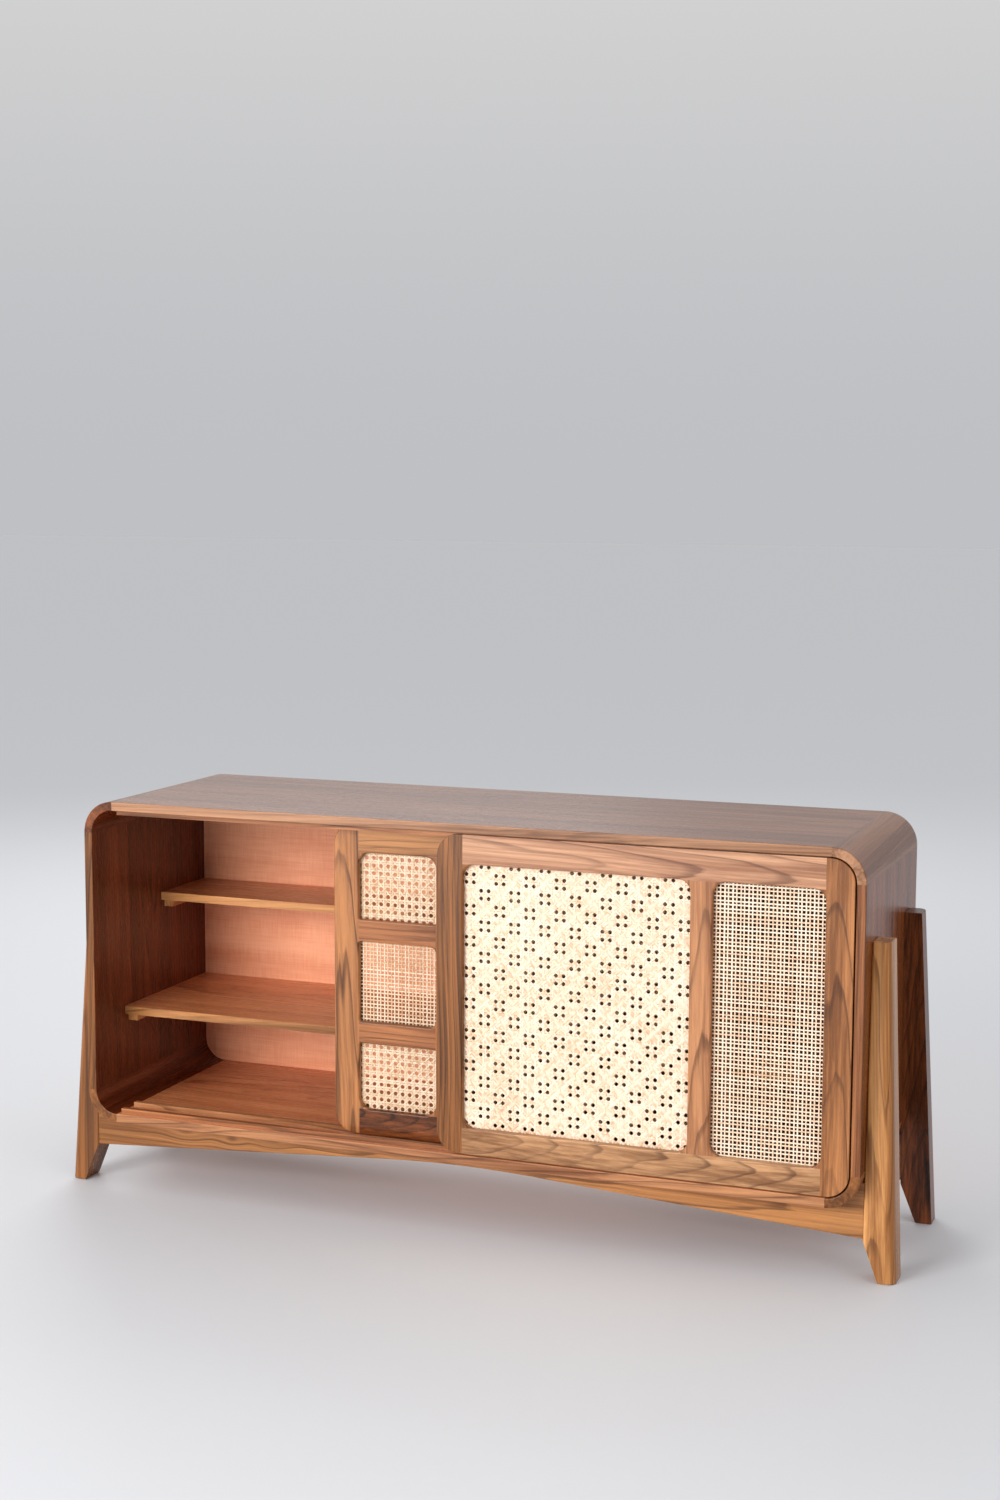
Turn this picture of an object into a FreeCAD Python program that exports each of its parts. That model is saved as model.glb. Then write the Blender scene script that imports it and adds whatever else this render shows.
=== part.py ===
"""Media cabinet: a rounded teak box on a splayed leg frame, with two sliding cane doors.

Millimetres. +Z is up and +X is to the right of someone facing the doors. The origin is on the
floor under the middle of the cabinet, so the open front of the box lies at y = -carcass_depth/2.
"""
import FreeCAD, Part
import math
import os
import re
import Sketcher

doc = FreeCAD.newDocument("MediaCabinet")

# ---------------------------------------------------------------- driving dimensions
SIZES = {
    # the box
    "carcass_width": 1340,
    "carcass_depth": 400,
    "carcass_height": 555,
    "ground_clearance": 117,
    "panel": 15,
    "corner_radius": 54,
    "rebate_width": 8,
    "back_thickness": 6,
    "back_inset": 1,
    "back_clearance": 0.3,
    "box_arris": 1.5,
    # wooden rails that the doors run on
    "guide_width": 10,
    "guide_height": 8,
    "guide_inset": 4,
    # doors
    "door_thickness": 28,
    "door_setback": 1,
    "door_spacing": 14,
    "door_gap": 2,
    "door_side_gap": 2.5,
    "door_overlap": 44,
    "inner_door_open": 430,
    "door_arris": 1.2,
    "groove_clearance": 1,
    "lift_clearance": 3,
    "glide_thickness": 3,
    "glide_length": 40,
    "glide_inset": 60,
    "stile": 44,
    "mid_stile": 36,
    "top_rail": 48,
    "bottom_rail": 43,
    "cross_rail": 37,
    "narrow_opening": 175,
    "small_opening": 137,
    "small_opening_height": 111,
    "opening_radius": 20,
    "opening_nick": 3,
    "middle_opening_radius": 12,
    "opening_round": 3,
    # woven cane and the strips that hold it
    "cane_recess": 9,
    "cane_thickness": 3,
    "cane_border": 8,
    "cane_clearance": 0.5,
    "bead_width": 7,
    "bead_thickness": 8,
    # shelves
    "shelf_thickness": 14,
    "lower_shelf_rise": 164,
    "upper_shelf_rise": 344,
    "lower_shelf_setback": 100,
    "upper_shelf_setback": 232,
    "cleat_width": 18,
    "cleat_height": 13,
    "cleat_setback": 11,
    "divider_clearance": 5,
    # legs and the rails between them
    "leg_height": 523,
    "leg_top_width": 28,
    "leg_depth": 46,
    "leg_top_setback": 50,
    "leg_foot_setback": 24,
    "foot_spread": 52,
    "foot_width": 27,
    "foot_height": 65,
    "leg_round": 14,
    "leg_inner_round": 4,
    "leg_arris": 1.5,
    "rail_setback": 31,
    "rail_thickness": 26,
    "rail_horn": 36,
    "rail_arris": 2,
    "arch_rise": 42.9,
    "arch_crown": 130,
    "tenon_length": 18,
    "tenon_height": 34,
    "tenon_thickness": 10,
    "joint_clearance": 0.2,
    "bearer_width": 40,
    "bearer_height": 25,
    "bearer_spacing": 800,
    # dowels
    "corner_dowel_radius": 3,
    "corner_dowel_reach": 12,
    "corner_dowel_pitch": 140,
    "leg_dowel_radius": 5,
    "leg_dowel_in_side": 10,
    "leg_dowel_in_leg": 18,
    "leg_dowel_low": 230,
    "leg_dowel_high": 430,
    "dowel_clearance": 0.1,
}

# lengths worked out from the driving dimensions, as formulas for the document
DERIVED = {
    "half_width": "carcass_width/2",
    "front_y": "-carcass_depth/2",
    "back_y": "carcass_depth/2",
    "box_top": "ground_clearance + carcass_height",
    "inner_half": "half_width - panel",
    "inner_floor": "ground_clearance + panel",
    "inner_top": "box_top - panel",
    "inner_radius": "corner_radius - panel",
    "flat_half": "half_width - corner_radius",
    "back_rebate": "back_thickness + back_inset",
    "back_face": "back_y - back_rebate",
    "guide_length": "2*(flat_half - guide_inset)",
    "front_door_y": "front_y + door_setback",
    "inner_door_y": "front_door_y + door_thickness + door_spacing",
    "front_guide_y": "front_door_y + (door_thickness - guide_width)/2",
    "rear_guide_y": "inner_door_y + (door_thickness - guide_width)/2",
    "door_height": "carcass_height - 2*panel - 2*door_gap",
    "door_width": "inner_half - door_side_gap + door_overlap/2",
    "door_bottom": "inner_floor + door_gap",
    "door_radius": "inner_radius - door_gap",
    "front_door_x": "inner_half - door_side_gap - door_width",
    "inner_door_x": "-inner_half + door_side_gap + inner_door_open",
    "groove_width": "guide_width + 2*groove_clearance",
    "groove_inset": "(door_thickness - groove_width)/2",
    "foot_groove": "guide_height - door_gap + glide_thickness",
    "head_groove": "guide_height - door_gap + lift_clearance",
    "divider_front": "inner_door_y + door_thickness + divider_clearance",
    "bearer_bottom": "ground_clearance - bearer_height",
}

sheet = doc.addObject("Spreadsheet::Sheet", "Sizes")
for row, (alias, number) in enumerate(SIZES.items(), start=1):
    sheet.set(f"A{row}", alias)
    sheet.set(f"B{row}", str(number))
    sheet.setAlias(f"B{row}", alias)
doc.recompute()

WORD = re.compile(r"[a-z][a-z_]*[a-z]")


def formula(text):
    """Writes a length, given in the names above, as an expression on the sheet's cells."""

    def expand(match):
        word = match.group(0)
        if word in DERIVED:
            return "(" + formula(DERIVED[word]) + ")"
        return "Sizes." + word

    return WORD.sub(expand, str(text))


def number(text):
    """The present value of a length, in millimetres."""
    return float(sheet.evalExpression(formula(text)))


def bind(item, **lengths):
    """Ties properties of an object to formulas."""
    for name, text in lengths.items():
        item.setExpression(name, formula(text))
    return item


def place(item, x="0", y="0", z="0"):
    """Ties the position of an object to formulas."""
    for axis, text in zip("xyz", (x, y, z)):
        item.setExpression("Placement.Base." + axis, formula(text))
    return item


# ---------------------------------------------------------------- plain pieces
NODES = []


def node(item, label):
    """Makes an object one of the sub-parts that are written out."""
    item.Label = label
    NODES.append(item)
    return item


def box(name, x, y, z):
    """A board between two x, two y and two z formulas."""
    board = doc.addObject("Part::Box", name)
    place(board, x[0], y[0], z[0])
    return bind(
        board,
        Length=f"({x[1]}) - ({x[0]})",
        Width=f"({y[1]}) - ({y[0]})",
        Height=f"({z[1]}) - ({z[0]})",
    )


TURNS = {
    "x": FreeCAD.Rotation(FreeCAD.Vector(0, 1, 0), 90),
    "z": FreeCAD.Rotation(),
}


def rod(name, axis, radius, length, start):
    """A round rod that leaves the point start along +x or +z."""
    cylinder = doc.addObject("Part::Cylinder", name)
    cylinder.Placement = FreeCAD.Placement(FreeCAD.Vector(), TURNS[axis])
    place(cylinder, *start)
    return bind(cylinder, Radius=radius, Height=length)


def group(name, items):
    """Several separate solids as one object."""
    compound = doc.addObject("Part::Compound", name)
    compound.Links = items
    return compound


def cut(name, base, tools):
    """An object with tools taken out of it."""
    result = doc.addObject("Part::Cut", name)
    result.Base = base
    result.Tool = tools[0] if len(tools) == 1 else group(name + "_tools", tools)
    return result


def common(name, base, tool):
    """What two objects share."""
    result = doc.addObject("Part::Common", name)
    result.Base = base
    result.Tool = tool
    return result


def mirror(name, source, normal):
    """The mirror image of an object in a plane through the origin."""
    result = doc.addObject("Part::Mirroring", name)
    result.Source = source
    result.Normal = normal
    return result


# ---------------------------------------------------------------- sketched pieces
def new_body(name, x="0", y="0", z="0"):
    """An empty body whose origin lies at a point given as formulas."""
    return place(doc.addObject("PartDesign::Body", name), x, y, z)


def new_sketch(body, name, plane="XZ_Plane", offset="0"):
    """A sketch on one of the body's own planes, moved along that plane's normal."""
    sketch = body.newObject("Sketcher::SketchObject", name)
    origin_plane = next(part for part in body.Origin.OriginFeatures if part.Role == plane)
    sketch.AttachmentSupport = [(origin_plane, "")]
    sketch.MapMode = "FlatFace"
    sketch.setExpression("AttachmentOffset.Base.z", formula(offset))
    return sketch


def hold(sketch, constraint, text):
    """Adds a dimension to a sketch and ties it to a formula."""
    index = sketch.addConstraint(constraint)
    sketch.setExpression(f"Constraints[{index}]", formula(text))


def hold_point(sketch, geometry, end, x=None, y=None):
    """Ties a point's distances from the sketch origin."""
    for kind, text in (("DistanceX", x), ("DistanceY", y)):
        if text is not None:
            hold(sketch, Sketcher.Constraint(kind, -1, 1, geometry, end, number(text)), text)


def polygon(sketch, points):
    """A closed outline of straight lines through points given as formulas."""
    corners = [FreeCAD.Vector(number(x), number(y), 0) for x, y in points]
    first = sketch.GeometryCount
    for start, end in zip(corners, corners[1:] + corners[:1]):
        sketch.addGeometry(Part.LineSegment(start, end), False)
    for index, (x, y) in enumerate(points):
        line = first + index
        before = first + (index - 1) % len(points)
        sketch.addConstraint(Sketcher.Constraint("Coincident", before, 2, line, 1))
        hold_point(sketch, line, 1, x, y)


def rounded_rectangle(sketch, left, bottom, right, top, radii):
    """A rectangle with its corners rounded: lower right, upper right, upper left, lower left."""
    x0, y0, x1, y1 = (number(text) for text in (left, bottom, right, top))
    r = [number(text) for text in radii]
    centres = [
        (x1 - r[0], y0 + r[0]),
        (x1 - r[1], y1 - r[1]),
        (x0 + r[2], y1 - r[2]),
        (x0 + r[3], y0 + r[3]),
    ]
    ends = [
        ((x0 + r[3], y0), (x1 - r[0], y0)),
        ((x1, y0 + r[0]), (x1, y1 - r[1])),
        ((x1 - r[1], y1), (x0 + r[2], y1)),
        ((x0, y1 - r[2]), (x0, y0 + r[3])),
    ]
    quarter = math.pi / 2
    first = sketch.GeometryCount
    for index in range(4):
        start, end = (FreeCAD.Vector(*point, 0) for point in ends[index])
        sketch.addGeometry(Part.LineSegment(start, end), False)
        circle = Part.Circle(FreeCAD.Vector(*centres[index], 0), FreeCAD.Vector(0, 0, 1), r[index])
        turn = (index - 1) * quarter
        sketch.addGeometry(Part.ArcOfCircle(circle, turn, turn + quarter), False)
    for index in range(4):
        line = first + 2 * index
        arc = line + 1
        after = first + (2 * index + 2) % 8
        sketch.addConstraint(Sketcher.Constraint("Tangent", line, 2, arc, 1))
        sketch.addConstraint(Sketcher.Constraint("Tangent", arc, 2, after, 1))
        sketch.addConstraint(Sketcher.Constraint("Vertical" if index % 2 else "Horizontal", line))
        hold(sketch, Sketcher.Constraint("Radius", arc, r[index]), radii[index])
    hold_point(sketch, first, 1, y=bottom)
    hold_point(sketch, first + 2, 1, x=right)
    hold_point(sketch, first + 4, 1, y=top)
    hold_point(sketch, first + 6, 1, x=left)


def pad(body, sketch, length):
    """Thickens an XZ sketch towards +y."""
    feature = body.newObject("PartDesign::Pad", sketch.Name + "_pad")
    feature.Profile = sketch
    feature.Reversed = True
    bind(feature, Length=length)
    doc.recompute()
    return feature


def pocket(body, sketch, length=None):
    """Cuts a sketch away: an XZ sketch all through towards +y, a YZ sketch a length towards +x."""
    before = body.Shape.Volume
    feature = body.newObject("PartDesign::Pocket", sketch.Name + "_pocket")
    feature.Profile = sketch
    if length is None:
        feature.Type = "ThroughAll"
    else:
        feature.Reversed = True
        bind(feature, Length=length)
    doc.recompute()
    if not feature.Shape.Volume < before - 1:
        raise ValueError(feature.Name + " removed nothing")
    return feature


def fillet(body, edges, radius):
    """Rounds edges, given as numbers in the body's latest feature."""
    base = body.Tip
    feature = body.newObject("PartDesign::Fillet", f"{body.Name}_round_{len(body.Group)}")
    feature.Base = (base, [f"Edge{index}" for index in edges])
    bind(feature, Radius=radius)
    doc.recompute()
    return feature


NEAR = 0.01  # how close counts as lying on a face


def own_shape(body):
    """A copy of a body's shape in the body's own frame."""
    shape = body.Shape.copy()
    shape.Placement = FreeCAD.Placement()
    return shape


def edges_where(shape, test):
    """Numbers of the edges whose bounding box passes a test."""
    return [index for index, edge in enumerate(shape.Edges, start=1) if test(edge.BoundBox)]


def grown(sketch, outline, margin):
    """A rounded rectangle moved outwards all round by a margin."""
    left, bottom, right, top, radii = outline
    rounded_rectangle(
        sketch,
        f"{left} - ({margin})",
        f"{bottom} - ({margin})",
        f"{right} + ({margin})",
        f"{top} + ({margin})",
        [f"{radius} + ({margin})" for radius in radii],
    )


# ---------------------------------------------------------------- the box
def box_ring():
    """The four sides of the box as one ring, before it is parted into boards and corner blocks."""
    body = new_body("box_ring", y="front_y")
    outline = new_sketch(body, "box_outline")
    walls = ("-half_width", "ground_clearance", "half_width", "box_top")
    rounded_rectangle(outline, *walls, ["corner_radius"] * 4)
    pad(body, outline, "carcass_depth")
    doc.recompute()
    hollow = new_sketch(body, "box_hollow")
    inside = ("-inner_half", "inner_floor", "inner_half", "inner_top", ["inner_radius"] * 4)
    rounded_rectangle(hollow, *inside)
    doc.recompute()
    pocket(body, hollow)
    rebate = new_sketch(body, "box_rebate", offset="back_rebate - carcass_depth")
    grown(rebate, inside, "rebate_width")
    doc.recompute()
    pocket(body, rebate)
    depth = number("carcass_depth")
    rims = edges_where(own_shape(body), lambda b: b.YMax < NEAR or b.YMin > depth - NEAR)
    fillet(body, rims, "box_arris")
    return body


def corner_dowel_sets():
    """Dowels across the eight joints between the boards and the corner blocks."""
    joints = {}
    for side, sign in (("left", "-"), ("right", "")):
        for level, z in (("bottom", "ground_clearance"), ("top", "box_top")):
            into = "" if level == "bottom" else "-"
            mid_z = f"{z} {into or '+'} panel/2"
            mid_x = f"{sign}(half_width - panel/2)"
            joint_z = f"{z} {into or '+'} corner_radius"
            joints[(level, side)] = ("x", (f"{sign}flat_half - corner_dowel_reach", mid_z))
            joints[(side, level)] = ("z", (mid_x, f"{joint_z} - corner_dowel_reach"))
    dowels, bores = [], {}
    for (board, toward), (axis, (first, second)) in joints.items():
        bores[(board, toward)] = []
        for step in (-1, 0, 1):
            y = f"{step}*corner_dowel_pitch"
            start = (first, y, second)
            name = f"corner_dowel_{board}_{toward}_{step + 1}"
            dowels.append(rod(name, axis, "corner_dowel_radius", "2*corner_dowel_reach", start))
            slack = "dowel_clearance"
            if axis == "x":
                start = (f"{first} - {slack}", y, second)
            else:
                start = (first, y, f"{second} - {slack}")
            radius = f"corner_dowel_radius + {slack}"
            length = f"2*corner_dowel_reach + 2*{slack}"
            bores[(board, toward)].append(rod(name + "_bore", axis, radius, length, start))
    return dowels, bores


def leg_middle(height):
    """The y of a front leg's middle at a height, since the leg leans forward towards its foot."""
    lean = f"(leg_top_setback - leg_foot_setback)*({height})/leg_height"
    return f"front_y + leg_foot_setback + {lean} + leg_depth/2"


def leg_dowel_sets():
    """Dowels that fix the four legs to the sides, with the holes for the left and right side."""
    dowels, bores = [], {"left": [], "right": []}
    for side in ("left", "right"):
        for end in ("front", "back"):
            for level, height in (("low", "leg_dowel_low"), ("high", "leg_dowel_high")):
                y = leg_middle(height)
                if end == "back":
                    y = f"-({y})"
                name = f"leg_dowel_{side}_{end}_{level}"
                length = "leg_dowel_in_side + leg_dowel_in_leg"
                if side == "right":
                    start = "half_width - leg_dowel_in_side"
                else:
                    start = "-half_width - leg_dowel_in_leg"
                dowels.append(rod(name, "x", "leg_dowel_radius", length, (start, y, height)))
                wide = "leg_dowel_radius + dowel_clearance"
                long = f"{length} + 2*dowel_clearance"
                point = (f"{start} - dowel_clearance", y, height)
                bores[side].append(rod(name + "_bore", "x", wide, long, point))
    return dowels, bores


corner_dowels, corner_bores = corner_dowel_sets()
leg_dowels, leg_bores = leg_dowel_sets()
ring = box_ring()

SPANS = {
    "left": ("-half_width", "-flat_half"),
    "middle": ("-flat_half", "flat_half"),
    "right": ("flat_half", "half_width"),
    "bottom": ("ground_clearance", "ground_clearance + corner_radius"),
    "upright": ("ground_clearance + corner_radius", "box_top - corner_radius"),
    "top": ("box_top - corner_radius", "box_top"),
}


def box_piece(label, across, up, bores):
    """One board or corner block of the box, with its dowel holes."""
    window = box(label + "_window", SPANS[across], ("front_y - 1", "back_y + 1"), SPANS[up])
    node(cut(label + "_piece", common(label + "_part", ring, window), bores), label)


for level in ("top", "bottom"):
    holes = corner_bores[(level, "left")] + corner_bores[(level, "right")]
    box_piece(level + "_panel", "middle", level, holes)
    for side in ("left", "right"):
        holes = corner_bores[(level, side)] + corner_bores[(side, level)]
        box_piece(f"{level}_{side}_corner", side, level, holes)
for side in ("left", "right"):
    holes = corner_bores[(side, "bottom")] + corner_bores[(side, "top")] + leg_bores[side]
    box_piece(side + "_side", side, "upright", holes)
node(group("corner_dowel_group", corner_dowels), "corner_dowels")
node(group("leg_dowel_group", leg_dowels), "leg_dowels")

back_body = node(new_body("back_panel_body", y="back_face"), "back_panel")
back_sketch = new_sketch(back_body, "back_outline")
back_reach = "rebate_width - back_clearance"
rounded_rectangle(
    back_sketch,
    f"-inner_half - ({back_reach})",
    f"inner_floor - ({back_reach})",
    f"inner_half + {back_reach}",
    f"inner_top + {back_reach}",
    [f"inner_radius + {back_reach}"] * 4,
)
pad(back_body, back_sketch, "back_thickness")

node(
    box(
        "divider",
        ("-panel/2", "panel/2"),
        ("divider_front", "back_face"),
        ("inner_floor", "inner_top"),
    ),
    "centre_divider",
)

for row, y in (("front", "front_guide_y"), ("rear", "rear_guide_y")):
    for level, z in (
        ("bottom", ("inner_floor", "inner_floor + guide_height")),
        ("top", ("inner_top - guide_height", "inner_top")),
    ):
        guide = box(
            f"{level}_{row}_guide",
            ("-guide_length/2", "guide_length/2"),
            (y, f"{y} + guide_width"),
            z,
        )
        node(guide, f"{level}_{row}_guide_rail")

for side in ("left", "right"):
    bay = ("-inner_half", "-panel/2") if side == "left" else ("panel/2", "inner_half")
    for level in ("lower", "upper"):
        top = f"inner_floor + {level}_shelf_rise"
        under = f"{top} - shelf_thickness"
        front = f"front_y + {level}_shelf_setback"
        shelf = box(f"{side}_{level}_board", bay, (front, "back_face"), (under, top))
        node(shelf, f"{side}_{level}_shelf")
        cleats = []
        for end, x in (
            ("a", (bay[0], f"{bay[0]} + cleat_width")),
            ("b", (f"{bay[1]} - cleat_width", bay[1])),
        ):
            name = f"{side}_{level}_cleat_{end}"
            reach = (f"{front} + cleat_setback", "back_face")
            cleats.append(box(name, x, reach, (f"{under} - cleat_height", under)))
        node(group(f"{side}_{level}_cleat_pair", cleats), f"{side}_{level}_cleats")


# ---------------------------------------------------------------- the leg frame
def leg_blank():
    """The front right leg, before its joints are cut: splayed outwards and forwards."""
    body = new_body("leg_body", y="front_y")
    front = new_sketch(body, "leg_front")
    polygon(
        front,
        [
            ("half_width", "foot_height"),
            ("half_width + foot_spread - foot_width", "0"),
            ("half_width + foot_spread", "0"),
            ("half_width + leg_top_width", "leg_height"),
            ("half_width", "leg_height"),
        ],
    )
    pad(body, front, "leg_top_setback + leg_depth")
    past = "leg_top_setback + leg_depth + 1"
    for name, start, depth in (("leg_face", "-1", "0"), ("leg_back", past, "leg_depth")):
        side = new_sketch(body, name, plane="YZ_Plane", offset="half_width - 1")
        polygon(
            side,
            [
                (start, "0"),
                (f"leg_foot_setback + {depth}", "0"),
                (f"leg_top_setback + {depth}", "leg_height"),
                (start, "leg_height"),
            ],
        )
        doc.recompute()
        pocket(body, side, "foot_spread + leg_top_width + 2")

    forward = number("leg_top_setback") + NEAR
    inner = number("half_width") + NEAR
    outer = number("half_width + leg_top_width") - NEAR
    height = number("leg_height")

    def upright(bounds):
        return bounds.ZLength > 1 and bounds.YMax < forward

    for radius, test in (
        ("leg_round", lambda b: upright(b) and b.XMin > outer),
        ("leg_inner_round", lambda b: upright(b) and b.XMax < inner),
        ("leg_arris", lambda b: b.ZMin > height - NEAR or b.ZMax < NEAR),
    ):
        fillet(body, edges_where(own_shape(body), test), radius)
    return body


def arched_rail(name):
    """The rail between two legs: arched below, and curved up around the corners of the box."""
    body = new_body(name, y="front_y + rail_setback")
    blank = new_sketch(body, name + "_blank")
    top = "ground_clearance + rail_horn"
    polygon(
        blank,
        [
            ("-half_width", "foot_height"),
            ("half_width", "foot_height"),
            ("half_width", top),
            ("-half_width", top),
        ],
    )
    pad(body, blank, "rail_thickness")
    seat = new_sketch(body, name + "_seat")
    walls = ("-half_width", "ground_clearance", "half_width", "box_top")
    rounded_rectangle(seat, *walls, ["corner_radius"] * 4)
    doc.recompute()
    pocket(body, seat)
    arch = new_sketch(body, name + "_arch")
    shoulder = "foot_height + arch_rise*(half_width - arch_crown)/half_width"
    arch_outline(
        arch,
        [
            ("-half_width", "foot_height"),
            ("-arch_crown", shoulder),
            ("arch_crown", shoulder),
            ("half_width", "foot_height"),
            ("half_width", "0"),
            ("-half_width", "0"),
        ],
    )
    doc.recompute()
    pocket(body, arch)
    seat_height = number("ground_clearance")
    reach = number("half_width") - 1

    def under_edge(bounds):
        along = bounds.XLength > 1 and bounds.YLength < NEAR
        return along and bounds.ZMax < seat_height - 1 and bounds.XMax > -reach

    fillet(body, edges_where(own_shape(body), under_edge), "rail_arris")
    return body


def arch_outline(sketch, points):
    """Two straight slopes joined by an arc that is tangent to them, closed below."""
    corners = [FreeCAD.Vector(number(x), number(y), 0) for x, y in points]
    slope = (corners[1].y - corners[0].y) / (corners[1].x - corners[0].x)
    half = corners[2].x
    centre = FreeCAD.Vector(0, corners[1].y - half / slope, 0)
    radius = (corners[1] - centre).Length
    crown = centre + FreeCAD.Vector(0, radius, 0)
    sketch.addGeometry(Part.LineSegment(corners[0], corners[1]), False)
    sketch.addGeometry(Part.Arc(corners[1], crown, corners[2]), False)
    sketch.addGeometry(Part.LineSegment(corners[2], corners[3]), False)
    sketch.addGeometry(Part.LineSegment(corners[3], corners[4]), False)
    sketch.addGeometry(Part.LineSegment(corners[4], corners[5]), False)
    sketch.addGeometry(Part.LineSegment(corners[5], corners[0]), False)
    # the arc runs anticlockwise, so it starts at the right-hand slope
    sketch.addConstraint(Sketcher.Constraint("Tangent", 0, 2, 1, 2))
    sketch.addConstraint(Sketcher.Constraint("Coincident", 1, 1, 2, 1))
    for line in (2, 3, 4):
        sketch.addConstraint(Sketcher.Constraint("Coincident", line, 2, line + 1, 1))
    sketch.addConstraint(Sketcher.Constraint("Coincident", 5, 2, 0, 1))
    for line, end, (x, y) in (
        (0, 1, points[0]),
        (0, 2, points[1]),
        (2, 1, points[2]),
        (3, 1, points[3]),
        (4, 1, points[4]),
        (5, 1, points[5]),
    ):
        hold_point(sketch, line, end, x, y)


def tenon(name, grow):
    """The bar whose ends are a rail's two tenons, or, grown by a clearance, their mortises."""
    mid_y = "front_y + rail_setback + rail_thickness/2"
    mid_z = "(foot_height + ground_clearance)/2"
    return box(
        name,
        (f"-half_width - tenon_length - {grow}", f"half_width + tenon_length + {grow}"),
        (f"{mid_y} - tenon_thickness/2 - {grow}", f"{mid_y} + tenon_thickness/2 + {grow}"),
        (f"{mid_z} - tenon_height/2 - {grow}", f"{mid_z} + tenon_height/2 + {grow}"),
    )


mortise = tenon("mortise", "joint_clearance")
front_dowel_holes = [hole for hole in leg_bores["right"] if "_front_" in hole.Name]
right_leg = cut("front_right_leg_piece", leg_blank(), [mortise] + front_dowel_holes)
node(right_leg, "front_right_leg")
SIDEWAYS = FreeCAD.Vector(1, 0, 0)
BACKWARDS = FreeCAD.Vector(0, 1, 0)
left_leg = node(mirror("front_left_leg_piece", right_leg, SIDEWAYS), "front_left_leg")
node(mirror("back_right_leg_piece", right_leg, BACKWARDS), "back_right_leg")
node(mirror("back_left_leg_piece", left_leg, BACKWARDS), "back_left_leg")

rail_arch = arched_rail("rail_body")
rail_ends = []
for side, x in (
    ("left", ("-half_width - tenon_length", "-half_width + rail_arris")),
    ("right", ("half_width - rail_arris", "half_width + tenon_length")),
):
    stub = common(
        f"{side}_tenon",
        tenon(f"{side}_tenon_bar", "0"),
        box(f"{side}_tenon_reach", x, ("front_y", "0"), ("0", "box_top")),
    )
    rail_ends.append(stub)
front_rail = doc.addObject("Part::MultiFuse", "front_rail_piece")
front_rail.Shapes = [rail_arch] + rail_ends
front_rail.Refine = True
node(front_rail, "front_rail")
node(mirror("back_rail_piece", front_rail, BACKWARDS), "back_rail")

for side, sign in (("left", "-"), ("right", "")):
    middle = f"{sign}bearer_spacing/2"
    bearer = box(
        f"{side}_bearer",
        (f"{middle} - bearer_width/2", f"{middle} + bearer_width/2"),
        ("front_y + rail_setback + rail_thickness", "back_y - rail_setback - rail_thickness"),
        ("bearer_bottom", "ground_clearance"),
    )
    node(bearer, f"{side}_cross_bearer")


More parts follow.
